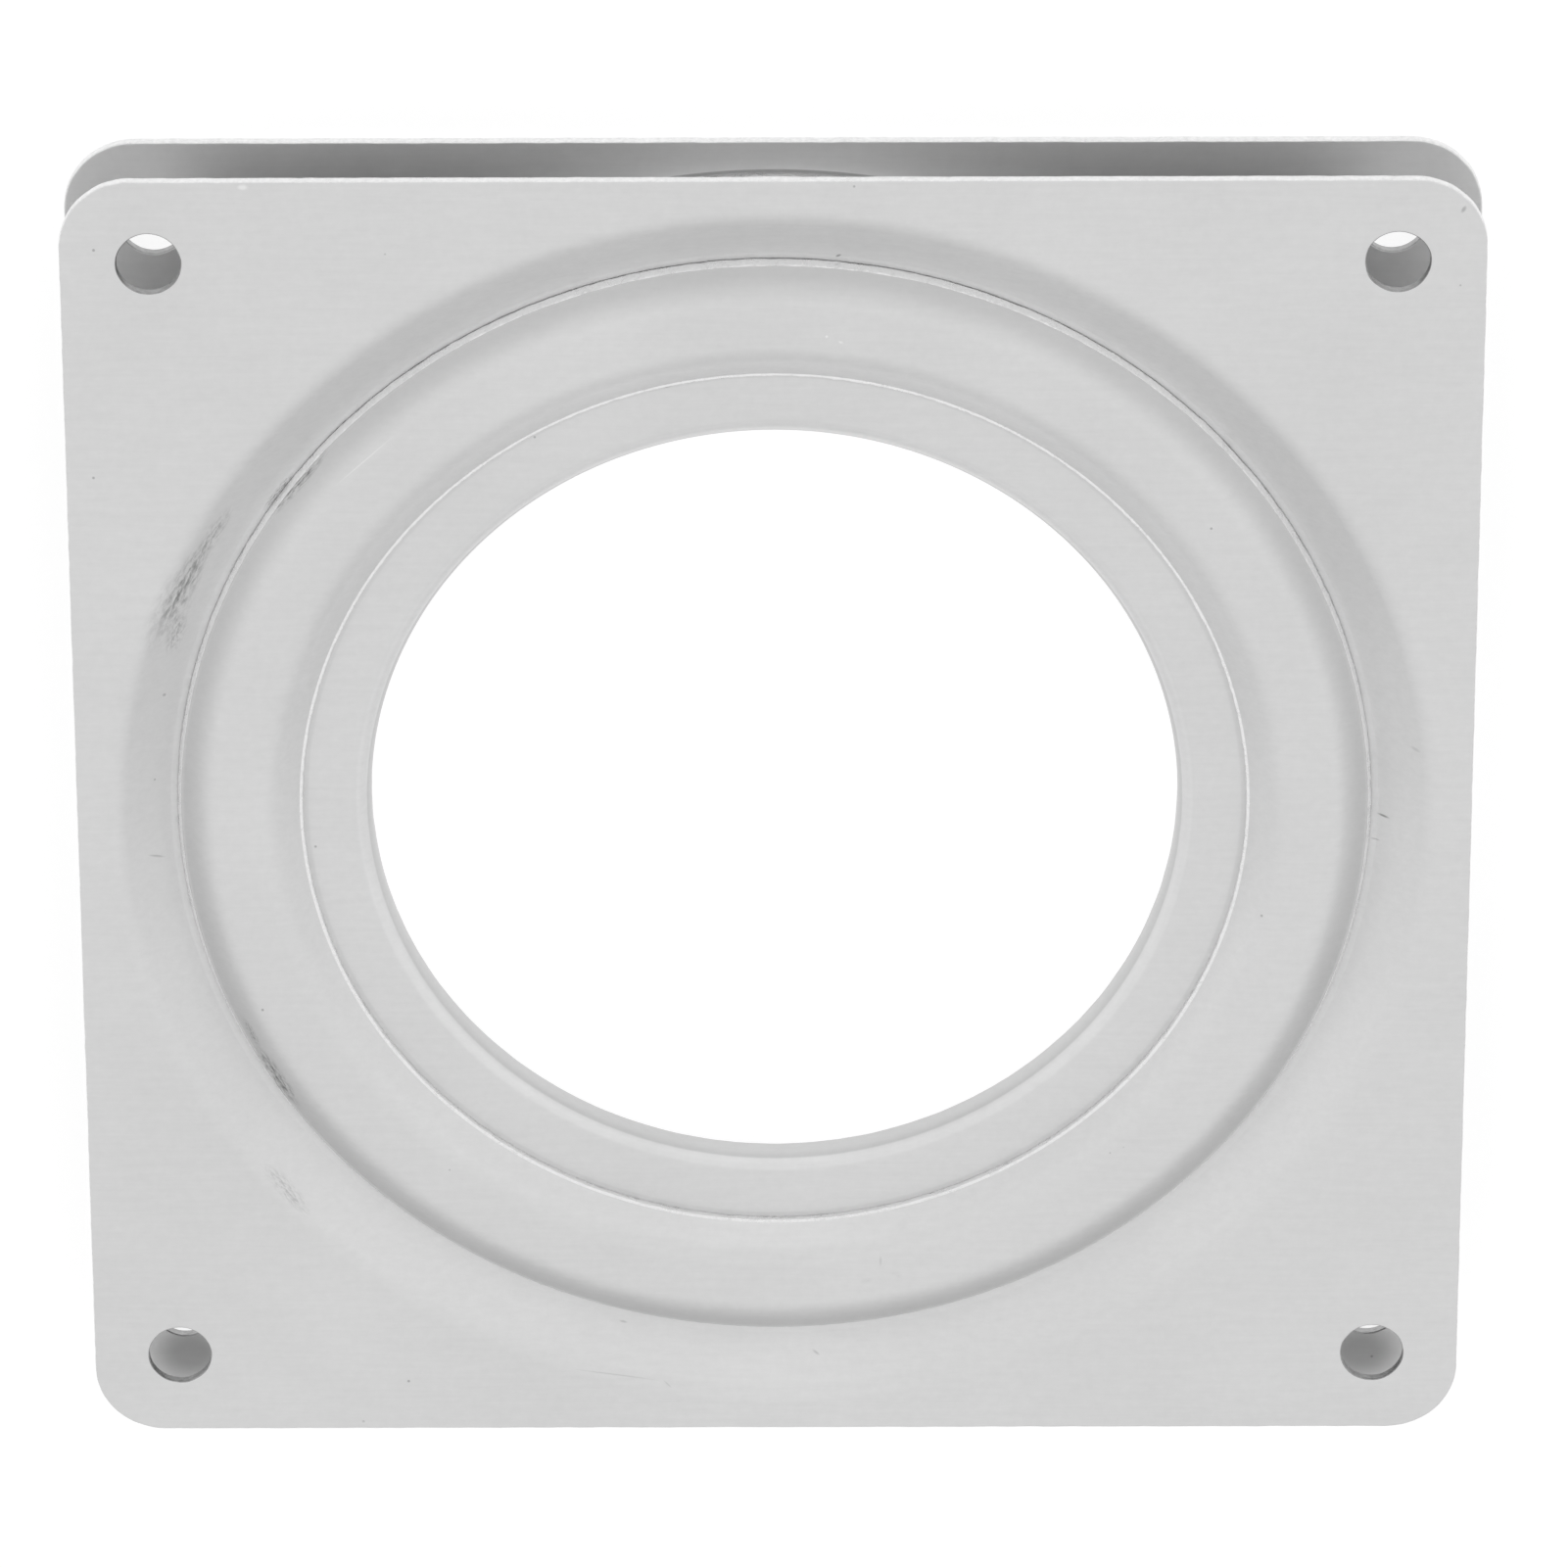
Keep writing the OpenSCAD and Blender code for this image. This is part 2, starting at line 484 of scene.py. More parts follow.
@dataclass(frozen=True)
class ShearedEdge:
    """Bare cut edge of the sheet: torn and uneven.

    Sizes are in millimetres. A swing is how far the noise moves a value to both sides.
    """

    name: str
    level: float = 0.85
    torn_swing: float = 0.175
    patch_swing: float = 0.1
    roughness: float = 0.35
    rough_swing: float = 0.2
    relief: float = 0.04
    relief_strength: float = 0.8
    torn_size: float = 0.35
    patch_size: float = 1.5

    def build(self) -> bpy.types.Material:
        """Makes the material.

        Returns:
            The material.
        """
        graph = SteelGraph(self.name)
        place = graph.object_place()
        torn = graph.noise(place, self.torn_size, detail=3.0, rough=0.65)
        patches = graph.noise(place, self.patch_size)
        torn_part = 2 * self.torn_swing * (torn - 0.5)
        level = self.level + torn_part + 2 * self.patch_swing * (patches - 0.5)
        rough = self.roughness + 2 * self.rough_swing * (patches - 0.5)
        normal = graph.roughened(torn, self.relief_strength, self.relief)
        return graph.finish(level.clamped(), rough.clamped(), normal)


@dataclass(frozen=True)
class BallSteel:
    """Hardened steel of the balls, polished and slightly oily.

    The film's size is in millimetres. A swing is how far the film moves a value to both sides.
    """

    name: str = "ball_steel_polished"
    level: float = 0.72
    level_swing: float = 0.03
    roughness: float = 0.14
    rough_swing: float = 0.06
    film_size: float = 1.2

    def build(self) -> bpy.types.Material:
        """Makes the material.

        Returns:
            The material.
        """
        graph = SteelGraph(self.name)
        film = graph.noise(graph.object_place(), self.film_size, detail=3.0)
        level = self.level + 2 * self.level_swing * (film - 0.5)
        return graph.finish(level, self.roughness + 2 * self.rough_swing * (film - 0.5))


# Sheets


@dataclass(frozen=True)
class BallTrack:
    """Circle of the ball centres, which the pressed rings are laid out about.

    Sections are drawn in the plane (radius, height), in millimetres.
    """

    radius: float
    height: float
    ball_radius: float
    gap: float = 0.03

    @classmethod
    def of_node(cls, node: str) -> BallTrack:
        """Reads the track from one ball of the frame.

        Args:
            node: Name of the ball's node.

        Returns:
            The track.
        """
        low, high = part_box(node)
        middle = (low + high) / (2 * METRE)
        return cls(math.hypot(middle.x, middle.y), middle.z, (high.z - low.z) / (2 * METRE))

    @property
    def centre(self) -> Vector:
        """Centre of a ball in the section plane."""
        return Vector((self.radius, self.height))

    def middle_radius(self, thickness: float) -> float:
        """Radius about the ball centre of the middle line of a race of that thickness."""
        return self.ball_radius + self.gap + thickness / 2


def direction(degrees: float) -> Vector:
    """Unit vector in the section plane at an angle from the outward radius."""
    return Vector((math.cos(math.radians(degrees)), math.sin(math.radians(degrees))))


class SheetLine:
    """Line in the section plane of a pressed sheet, grown from one vertex."""

    longest_chord = 0.2
    widest_turn = 9.0
    weld = 0.001
    sharpest_left = 25.0

    def __init__(self, start: Vector) -> None:
        """Starts the line.

        Args:
            start: First point, as (radius, height).
        """
        self.mesh = bmesh.new()
        self.tip = self.mesh.verts.new((start.x, 0.0, start.y))

    def run(self, end: Vector) -> SheetLine:
        """Draws a straight stretch.

        Args:
            end: Its far end.

        Returns:
            The line itself.
        """
        step = Vector((end.x, 0.0, end.y)) - self.tip.co
        made = bmesh.ops.extrude_vert_indiv(self.mesh, verts=[self.tip])
        self.tip = made["verts"][0]
        bmesh.ops.translate(self.mesh, verts=[self.tip], vec=step)
        return self

    def bend(self, centre: Vector, degrees: float) -> SheetLine:
        """Draws an arc from the tip.

        Args:
            centre: Centre of the arc.
            degrees: Turn, positive from the outward radius towards +Z.

        Returns:
            The line itself.
        """
        pivot = Vector((centre.x, 0.0, centre.y))
        radius = (self.tip.co - pivot).length
        turn = min(self.widest_turn, math.degrees(self.longest_chord / radius))
        made = bmesh.ops.spin(
            self.mesh,
            geom=[self.tip],
            cent=pivot,
            axis=(0.0, -1.0, 0.0),
            angle=math.radians(degrees),
            steps=max(1, math.ceil(abs(degrees) / turn)),
            use_merge=False,
        )
        self.tip = next(x for x in made["geom_last"] if isinstance(x, bmesh.types.BMVert))
        return self

    def close(self, rounding: float, steps: int = 3) -> SheetLine:
        """Joins the tip to the start and rounds the corners of the outline.

        Args:
            rounding: Distance from a corner at which its rounding starts.
            steps: Edges of each rounding.

        Returns:
            The line itself.
        """
        bmesh.ops.remove_doubles(self.mesh, verts=self.mesh.verts[:], dist=self.weld)
        bmesh.ops.contextual_create(self.mesh, geom=self.mesh.edges[:])
        sharp = math.radians(self.sharpest_left)
        bmesh.ops.bevel(
            self.mesh,
            geom=[vert for vert in self.mesh.verts if vert.calc_edge_angle() > sharp],
            offset=rounding,
            affect="VERTICES",
            segments=steps,
            profile=0.5,
            material=-1,
        )
        bmesh.ops.delete(self.mesh, geom=self.mesh.faces[:], context="FACES_ONLY")
        return self

    def revolve(self) -> bmesh.types.BMesh:
        """Turns the line about the spin axis.

        Returns:
            Mesh of the turned surface.
        """
        bmesh.ops.spin(
            self.mesh,
            geom=self.mesh.verts[:] + self.mesh.edges[:],
            cent=(0.0, 0.0, 0.0),
            axis=(0.0, 0.0, 1.0),
            angle=FULL_TURN,
            steps=RING_STEPS,
            use_merge=True,
        )
        return self.mesh


@dataclass(frozen=True)
class CutEdge:
    """Rounding of a sheet's cut edge and the wobble that the shears leave, in millimetres."""

    rounding: float = 0.14
    rounding_steps: int = 3
    wobble: float = 0.035
    wobble_size: float = 1.1

    def unsettle(self, mesh: bmesh.types.BMesh) -> None:
        """Moves the open edges of a middle surface a little to and fro.

        Args:
            mesh: Middle surface, before it has its thickness.
        """
        for vert in mesh.verts:
            if vert.is_boundary:
                shift = noise.noise_vector(vert.co / self.wobble_size)
                vert.co += Vector((shift.x, shift.y, 0.0)) * self.wobble


@dataclass(frozen=True)
class Burr:
    """Uneven raised lip along a cut edge, in millimetres."""

    height: float
    width: float
    size: float
    coarse: float = 0.9
    fine: float = 0.5
    fine_scale: float = 2.7
    lowest: float = 0.6

    def raise_on(self, mesh: bmesh.types.BMesh, radius: float, above: float) -> None:
        """Raises the upper corner of a turned ring's cut edge.

        Args:
            mesh: Mesh of the ring.
            radius: Radius of the cut edge.
            above: Height above which vertices belong to the upper side.
        """
        for vert in mesh.verts:
            near = 1 - abs(vert.co.xy.length - radius) / self.width
            if near > 0 and vert.co.z > above:
                coarse = self.coarse * noise.noise(vert.co / self.size)
                fine = self.fine * noise.noise(vert.co * self.fine_scale / self.size)
                vert.co.z += self.height * near * max(0.0, self.lowest + coarse + fine)


@dataclass(frozen=True)
class Coats:
    """Materials of a sheet: its faces, its sheared edges and the walls of its punched holes.

    A face's cut edge takes the slot after the face's own.
    """

    faces: bpy.types.Material
    sheared: bpy.types.Material
    punched: bpy.types.Material

    def slots(self) -> list[bpy.types.Material]:
        """Material slots: faces and their cut edge, then faces round a hole and the hole's wall."""
        return [self.faces, self.sheared, self.faces, self.punched]


@dataclass(frozen=True)
class Blank:
    """Flat square of sheet with round corners and four screw holes."""

    thickness: float = 0.85
    corner_radius: float = 5.2
    corner_steps: int = 24
    hole_diameter: float = 4.6
    hole_inset: float = 6.35
    hole_steps: int = 96
    margin: float = 0.4
    side_cuts: int = 120

    def flat(self, width: float, opening_radius: float, height: float) -> bmesh.types.BMesh:
        """Makes the flat's middle surface with its holes and its round opening.

        Args:
            width: Side of the square.
            opening_radius: Radius of the round opening.
            height: Height of the middle surface.

        Returns:
            Mesh of the flat.
        """
        mesh = bmesh.new()
        bmesh.ops.create_grid(mesh, x_segments=1, y_segments=1, size=width / 2)
        bmesh.ops.bevel(
            mesh,
            geom=mesh.verts[:],
            offset=self.corner_radius,
            affect="VERTICES",
            segments=self.corner_steps,
            profile=0.5,
            material=-1,
        )
        bmesh.ops.delete(mesh, geom=mesh.faces[:], context="FACES_ONLY")
        bmesh.ops.create_circle(mesh, segments=RING_STEPS, radius=opening_radius)
        place = width / 2 - self.hole_inset
        for x in (-place, place):
            for y in (-place, place):
                bmesh.ops.create_circle(
                    mesh,
                    segments=self.hole_steps,
                    radius=self.hole_diameter / 2,
                    matrix=Matrix.Translation((x, y, 0.0)),
                )
        bmesh.ops.triangle_fill(mesh, edges=mesh.edges[:], use_beauty=True, normal=(0.0, 0.0, 1.0))
        bmesh.ops.inset_region(
            mesh,
            faces=mesh.faces[:],
            thickness=self.margin,
            use_boundary=True,
            use_even_offset=True,
        )
        sides = [edge for edge in mesh.edges if self._along_side(edge, width / 2)]
        bmesh.ops.subdivide_edges(mesh, edges=sides, cuts=self.side_cuts, use_grid_fill=True)
        for face in mesh.faces:
            centre = face.calc_center_median()
            off_hole = Vector((abs(centre.x) - place, abs(centre.y) - place)).length
            if off_hole < self.hole_diameter / 2 + self.margin:
                face.material_index = HOLE_SIDE_SLOT
        bmesh.ops.translate(mesh, verts=mesh.verts[:], vec=(0.0, 0.0, height))
        return mesh

    def _along_side(self, edge: bmesh.types.BMEdge, half: float) -> bool:
        """Whether an edge runs along one of the square's four straight sides.

        Args:
            edge: Edge of the flat.
            half: Half the side of the square.

        Returns:
            True for the long edges at the rim.
        """
        first, second = edge.verts[0].co.xy, edge.verts[1].co.xy
        outer = half - 1.5 * self.margin
        slack = self.margin / 40
        on_x = abs(first.x - second.x) < slack and abs(first.x) > outer
        on_y = abs(first.y - second.y) < slack and abs(first.y) > outer
        return (on_x or on_y) and (first - second).length > half


@dataclass(frozen=True)
class SheetPiece:
    """How a middle surface becomes a piece, and the node that the piece replaces.

    The thickness is in millimetres. Corners sharper than the sharp angle, in degrees, are
    rounded.
    """

    node: str
    body: Body
    slot: Slot
    thickness: float
    edge: CutEdge = CutEdge()
    sharp: float = 60.0

    def finish(self, mesh: bmesh.types.BMesh, coats: Coats) -> bpy.types.Object:
        """Makes the object.

        Args:
            mesh: Middle surface in millimetres. It is freed.
            coats: Its materials.

        Returns:
            The piece.
        """
        self.edge.unsettle(mesh)
        bmesh.ops.scale(mesh, verts=mesh.verts[:], vec=(METRE, METRE, METRE))
        bmesh.ops.recalc_face_normals(mesh, faces=mesh.faces[:])
        piece = as_object(f"{self.node}_pressed", mesh, coats.slots())
        wall = piece.modifiers.new("wall", "SOLIDIFY")
        wall.thickness = self.thickness * METRE
        wall.offset = 0.0
        wall.use_even_offset = True
        wall.use_rim = True
        wall.material_offset_rim = 1
        soft = piece.modifiers.new("soft_edges", "BEVEL")
        soft.limit_method = "ANGLE"
        soft.angle_limit = math.radians(self.sharp)
        soft.width = self.edge.rounding * METRE
        soft.segments = self.edge.rounding_steps
        soft.harden_normals = True
        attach(piece, self.body.value)
        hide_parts(self.node)
        LOG.info("%s: %d faces before its thickness", piece.name, len(piece.data.polygons))
        return piece


def as_object(
    name: str, mesh: bmesh.types.BMesh, materials: list[bpy.types.Material]
) -> bpy.types.Object:
    """Makes a smooth-shaded object at the origin.

    Args:
        name: Name of the object.
        mesh: Its mesh in metres. It is freed.
        materials: Its materials, in slot order.

    Returns:
        The object, in the scene.
    """
    for face in mesh.faces:
        face.smooth = True
    data = bpy.data.meshes.new(name)
    mesh.to_mesh(data)
    mesh.free()
    for material in materials:
        data.materials.append(material)
    made = bpy.data.objects.new(name, data)
    bpy.context.scene.collection.objects.link(made)
    return made


def merged(
    first: bmesh.types.BMesh, second: bmesh.types.BMesh, reach: float = 0.001
) -> bmesh.types.BMesh:
    """Joins two meshes and welds them where they meet.

    Args:
        first: Mesh that takes the other in.
        second: Mesh that is freed.
        reach: Distance within which vertices are welded.

    Returns:
        The first mesh.
    """
    spare = bpy.data.meshes.new("spare")
    second.to_mesh(spare)
    second.free()
    first.from_mesh(spare)
    bpy.data.meshes.remove(spare)
    bmesh.ops.remove_doubles(first, verts=first.verts[:], dist=reach)
    return first


@dataclass(frozen=True)
class FrontPlate:
    """Turning plate: flat square, dished down to a shelf, a valley and a bead over the balls."""

    track: BallTrack
    width: float
    top: float
    blank: Blank = Blank()
    dish_slope: float = 36.0
    dish_bend: float = 1.5
    shelf_slope: float = 18.0
    shelf_width: float = 2.35
    valley_middle: float = 4.075
    valley_bend: float = 0.45
    bead_start: float = 122.0
    lap: float = 0.5

    def build(self, coats: Coats) -> bpy.types.Object:
        """Models the plate.

        Args:
            coats: Its materials.

        Returns:
            The piece.
        """
        half = self.blank.thickness / 2
        bead = self.track.middle_radius(self.blank.thickness)
        valley = self.valley_bend + half
        dish = self.dish_bend + half
        flat_height = self.top - half
        centre = self.track.centre
        rise = self.valley_middle + valley - centre.y
        bead_end = math.degrees(math.asin(rise / (bead + valley)))
        valley_in = centre + (bead + valley) * direction(bead_end)
        valley_out = valley_in + self.shelf_width * direction(self.shelf_slope)
        slope = math.radians(self.dish_slope)
        bends = dish + valley
        height = flat_height - dish - valley_out.y + bends * math.cos(slope)
        reach = height / math.tan(slope) + bends * math.sin(slope)
        dish_centre = Vector((valley_out.x + reach, flat_height - dish))
        opening = dish_centre.x + self.lap
        line = SheetLine(centre + bead * direction(self.bead_start))
        line.bend(centre, bead_end - self.bead_start)
        line.bend(valley_in, 90 + self.shelf_slope - bead_end)
        line.run(valley_out - valley * direction(90 + self.shelf_slope))
        line.bend(valley_out, self.dish_slope - self.shelf_slope)
        line.run(dish_centre + dish * direction(90 + self.dish_slope))
        line.bend(dish_centre, -self.dish_slope)
        line.run(Vector((opening, flat_height)))
        surface = merged(line.revolve(), self.blank.flat(self.width, opening, flat_height))
        piece = SheetPiece("front_plate", Body.TURNTABLE, Slot.PLATE, self.blank.thickness)
        return piece.finish(surface, coats)


@dataclass(frozen=True)
class BackPlate:
    """Fixed plate: flat square with a round opening for the race ring's groove."""

    width: float
    opening_radius: float = 40.683
    blank: Blank = Blank()

    def build(self, coats: Coats) -> bpy.types.Object:
        """Models the plate.

        Args:
            coats: Its materials.

        Returns:
            The piece.
        """
        surface = self.blank.flat(self.width, self.opening_radius, self.blank.thickness / 2)
        piece = SheetPiece("back_plate", Body.BASE, Slot.PLATE, self.blank.thickness)
        return piece.finish(surface, coats)


@dataclass(frozen=True)
class RaceRing:
    """Ring that carries the balls: rolled bore edge, flat, wall, groove and brim."""

    track: BallTrack
    brim_radius: float
    brim_middle: float
    thickness: float = 0.8
    bore_diameter: float = 59.0
    bore_roll: float = 1.35
    bore_flange: float = 2.3
    seat_rise: float = 1.5
    seat_bend: float = 0.5
    brim_bend: float = 0.5

    @property
    def seat(self) -> float:
        """Height of the flat's upper face."""
        return self.track.height + self.seat_rise

    def build(self, coats: Coats) -> bpy.types.Object:
        """Models the ring.

        Args:
            coats: Its materials.

        Returns:
            The piece.
        """
        half = self.thickness / 2
        groove = self.track.middle_radius(self.thickness)
        roll = self.bore_roll - half
        seat_bend = self.seat_bend + half
        brim_bend = self.brim_bend + half
        centre = self.track.centre
        flat = self.seat - half
        roll_centre = Vector((self.bore_diameter / 2 + self.bore_roll, self.seat - self.bore_roll))
        seat_centre = Vector((centre.x - groove - seat_bend, flat - seat_bend))
        drop = centre.y + brim_bend - self.brim_middle
        groove_exit = math.degrees(math.acos(drop / (groove + brim_bend)))
        brim_centre = centre - (groove + brim_bend) * direction(90 + groove_exit)
        line = SheetLine(Vector((roll_centre.x - roll, self.seat - self.bore_flange)))
        line.run(roll_centre - Vector((roll, 0.0)))
        line.bend(roll_centre, -90)
        line.run(Vector((seat_centre.x, flat)))
        line.bend(seat_centre, -90)
        line.run(centre - Vector((groove, 0.0)))
        line.bend(centre, 90 + groove_exit)
        line.bend(brim_centre, -groove_exit)
        line.run(Vector((self.brim_radius, self.brim_middle)))
        piece = SheetPiece("race_ring", Body.BASE, Slot.RING, self.thickness)
        return piece.finish(line.revolve(), coats)


@dataclass(frozen=True)
class RetainerRing:
    """Ring that holds the front plate down: a level crest and two skirts with torn cut edges.

    The slant, spread and sag flare the outer cut towards the front plate's shelf.
    """

    track: BallTrack
    seat: float
    top: float
    outer_radius: float
    thickness: float = 0.5
    inner_width: float = 4.3
    foot: float = 0.3
    crest_in: float = 1.2
    crest_out: float = 1.7
    outer_drop: float = 1.506
    bend: float = 2.0
    rounding: float = 0.06
    ring_cuts: int = 3
    lip: float = 0.3
    outer_lip: float = 0.15
    inner_lip: float = 0.16
    slant: float = 0.12
    spread: float = 0.2
    sag: float = 0.01
    wobble: float = 0.04
    wobble_size: float = 0.8
    outer_burr: Burr = Burr(height=0.1, width=0.16, size=0.6)
    inner_burr: Burr = Burr(height=0.06, width=0.2, size=0.5)

    def skirt_slope(self, width: float, drop: float) -> float:
        """Slope of a skirt that runs straight from the bend at the end of the crest.

        Args:
            width: Distance out from the end of the crest to the skirt's foot.
            drop: Height of the crest above the skirt's foot.

        Returns:
            Slope in degrees.
        """
        rise = self.bend - drop
        reach = math.hypot(width, rise)
        return 90 - math.degrees(math.atan2(rise, width) + math.acos(self.bend / reach))

    def outline(self) -> SheetLine:
        """Draws the section: inner cut, over the crest, outer cut and back underneath."""
        crest = self.top - self.thickness
        inner = self.track.radius - self.inner_width
        foot = inner + self.foot
        under = crest - self.outer_drop
        top_bend = self.bend + self.thickness
        inner_centre = Vector((self.track.radius - self.crest_in, crest - self.bend))
        outer_centre = Vector((self.track.radius + self.crest_out, crest - self.bend))
        inner_slope = self.skirt_slope(inner_centre.x - foot, crest - self.seat)
        outer_slope = self.skirt_slope(self.outer_radius - outer_centre.x, self.outer_drop)
        upright = Vector((0.0, self.thickness))
        uphill = direction(inner_slope)
        inner_low = Vector((foot, self.seat)) - self.foot / uphill.x * uphill
        inner_corner = inner_low + upright / uphill.x
        ledge = self.inner_lip / math.tan(math.radians(inner_slope))
        outer_low = Vector((self.outer_radius, under))
        outer_corner = outer_low + upright / direction(outer_slope).x
        line = SheetLine(Vector((inner, self.seat)))
        line.run(inner_corner + Vector((0.0, self.inner_lip)))
        line.run(inner_corner + Vector((ledge, self.inner_lip)))
        line.run(inner_corner + self.lip * uphill)
        line.run(inner_centre + top_bend * direction(90 + inner_slope))
        line.bend(inner_centre, -inner_slope)
        line.run(outer_centre + Vector((0.0, top_bend)))
        line.bend(outer_centre, -outer_slope)
        line.run(outer_corner - self.lip * direction(-outer_slope))
        line.run(outer_corner + Vector((-self.slant, self.outer_lip)))
        line.run(outer_corner + Vector((self.spread / 3, -self.slant)))
        line.run(outer_low + Vector((self.spread, self.slant)))
        line.run(outer_low + Vector((self.spread, -self.sag)))
        line.run(outer_low - Vector((self.lip, 0.0)))
        line.run(outer_centre + self.bend * direction(90 - outer_slope))
        line.bend(outer_centre, outer_slope)
        line.run(inner_centre + Vector((0.0, self.bend)))
        line.bend(inner_centre, inner_slope)
        line.run(Vector((foot, self.seat)))
        line.run(Vector((inner, self.seat)))
        return line.close(self.rounding)

    def build(self, coats: Coats) -> bpy.types.Object:
        """Models the ring.

        Args:
            coats: Its materials.

        Returns:
            The piece.
        """
        mesh = self.outline().revolve()
        around = [edge for edge in mesh.edges if self._turn(edge) > FULL_TURN / RING_STEPS / 2]
        bmesh.ops.subdivide_edges(mesh, edges=around, cuts=self.ring_cuts, use_grid_fill=True)
        inner_radius = self.track.radius - self.inner_width
        margin = self.rounding / 2
        inner_cut = inner_radius + self.inner_lip + margin
        outer_cut = self.outer_radius - self.slant + margin
        for face in mesh.faces:
            reach = face.calc_center_median().xy.length
            face.material_index = int(not inner_cut < reach < outer_cut)
        half = self.thickness / 2
        self.outer_burr.raise_on(mesh, self.outer_radius, self.top - self.outer_drop - half)
        self.inner_burr.raise_on(mesh, inner_radius, self.seat + half)
        for vert in mesh.verts:
            reach = vert.co.xy.length
            if not inner_radius + margin < reach < self.outer_radius - margin:
                shift = self.wobble * (noise.noise(vert.co / self.wobble_size) - 0.5)
                vert.co.xy *= 1 + shift / reach
        bmesh.ops.scale(mesh, verts=mesh.verts[:], vec=(METRE, METRE, METRE))
        bmesh.ops.recalc_face_normals(mesh, faces=mesh.faces[:])
        piece = as_object("retainer_ring_pressed", mesh, coats.slots())
        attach(piece, Body.BASE.value)
        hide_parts("retainer_ring")
        LOG.info("%s: %d faces", piece.name, len(piece.data.polygons))
        return piece

    @staticmethod
    def _turn(edge: bmesh.types.BMEdge) -> float:
        """Angle about the spin axis between an edge's ends."""
        first, second = edge.verts[0].co.xy, edge.verts[1].co.xy
        return abs(first.angle_signed(second))


@dataclass(frozen=True)
class BallRow:
    """Loose steel balls between the two races, one piece for each ball of the frame."""

    nodes: tuple[str, ...]
    subdivisions: int = 4

    def build(self, steel: bpy.types.Material) -> list[bpy.types.Object]:
        """Models the balls.

        Args:
            steel: Their material.

        Returns:
            The pieces.
        """
        return [self._ball(node, steel) for node in self.nodes]

    def _ball(self, node: str, steel: bpy.types.Material) -> bpy.types.Object:
        """Models one ball.

        Args:
            node: Node that it stands for.
            steel: Its material.

        Returns:
            The piece.
        """
        low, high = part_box(node)
        mesh = bmesh.new()
        bmesh.ops.create_icosphere(
            mesh,
            subdivisions=self.subdivisions,
            radius=(high.z - low.z) / 2,
            matrix=Matrix.Translation((low + high) / 2),
        )
        piece = as_object(f"{node}_polished", mesh, [steel])
        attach(piece, Body.BALLS.value)
        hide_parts(node)
        return piece


# Studio


@dataclass(frozen=True)
class Glow:
    """Soft light patch of the room. Angles in degrees, the azimuth from +X towards +Y."""

    azimuth: float
    elevation: float
    reach: float
    strength: float

    def add_to(self, graph: ShaderGraph, way: bpy.types.NodeSocket) -> Value:
        """Adds the patch to the world's graph.

        Args:
            graph: World's graph.
            way: Direction that a ray looks in.

        Returns:
            The patch's light in that direction.
        """
        turn, lift = math.radians(self.azimuth), math.radians(self.elevation)
        across = math.cos(lift)
        middle = (across * math.cos(turn), across * math.sin(turn), math.sin(lift))
        near = graph.add("ShaderNodeVectorMath", {"operation": "DOT_PRODUCT"}, {0: way, 1: middle})
        mask = graph.between(graph.value(near, "Value"), math.cos(math.radians(self.reach)), 1.0)
        return mask * self.strength


